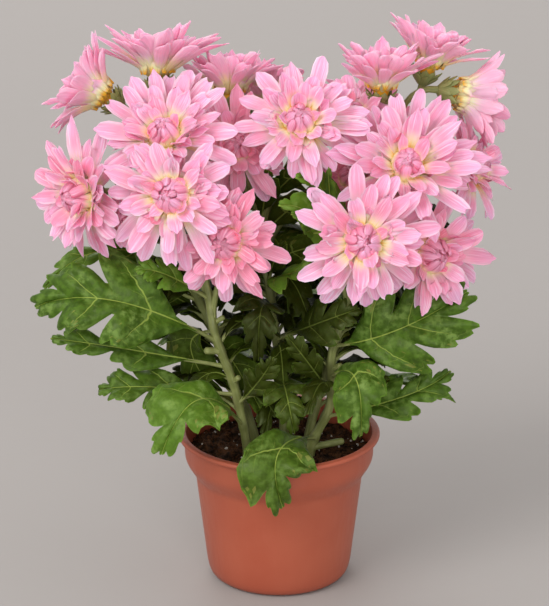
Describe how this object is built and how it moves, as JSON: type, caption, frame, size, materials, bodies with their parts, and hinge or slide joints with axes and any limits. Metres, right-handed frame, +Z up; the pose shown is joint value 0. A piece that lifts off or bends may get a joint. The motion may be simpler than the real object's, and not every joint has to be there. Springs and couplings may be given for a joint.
{
  "type": "pot chrysanthemum",
  "caption": "Flowering pot chrysanthemum: pink blooms with layered strap petals on leafy stems with lobed leaves, standing in soil in a tapered plastic pot.",
  "frame": {"origin": "middle of the pot's flat underside, on the surface that the pot stands on", "axes": "+Z up along the pot's axis, -Y towards the front of the plant, +X to the right seen from the front"},
  "size_m": [0.2741, 0.1766, 0.3358],
  "materials": {
    "pot_plastic": "satin",
    "potting_soil": "matte",
    "foliage": "satin",
    "petal": "matte"
  },
  "bodies": {
    "root": {"pot": "pot_plastic", "soil": "potting_soil", "stem_front_left": "foliage", "stem_back_left": "foliage", "stem_centre": "foliage", "stem_front_right": "foliage", "stem_back_right": "foliage", "bloom_top_left": "petal", "bloom_far_left": "petal", "bloom_upper_left": "petal", "bloom_left": "petal", "bloom_left_side": "petal", "bloom_half_open": "petal", "bloom_middle": "petal", "bloom_inner_left": "petal", "bloom_top_middle": "petal", "bloom_centre": "petal", "bloom_top": "petal", "bloom_top_right": "petal", "bloom_far_right": "petal", "bloom_right": "petal", "bloom_lower_right": "petal", "bloom_low_right": "petal", "bloom_inner_right": "petal", "bloom_shaded": "petal", "bloom_right_side": "petal", "bloom_back_left": "petal", "bloom_back": "petal", "bloom_back_right": "petal"}
  },
  "joints": []
}
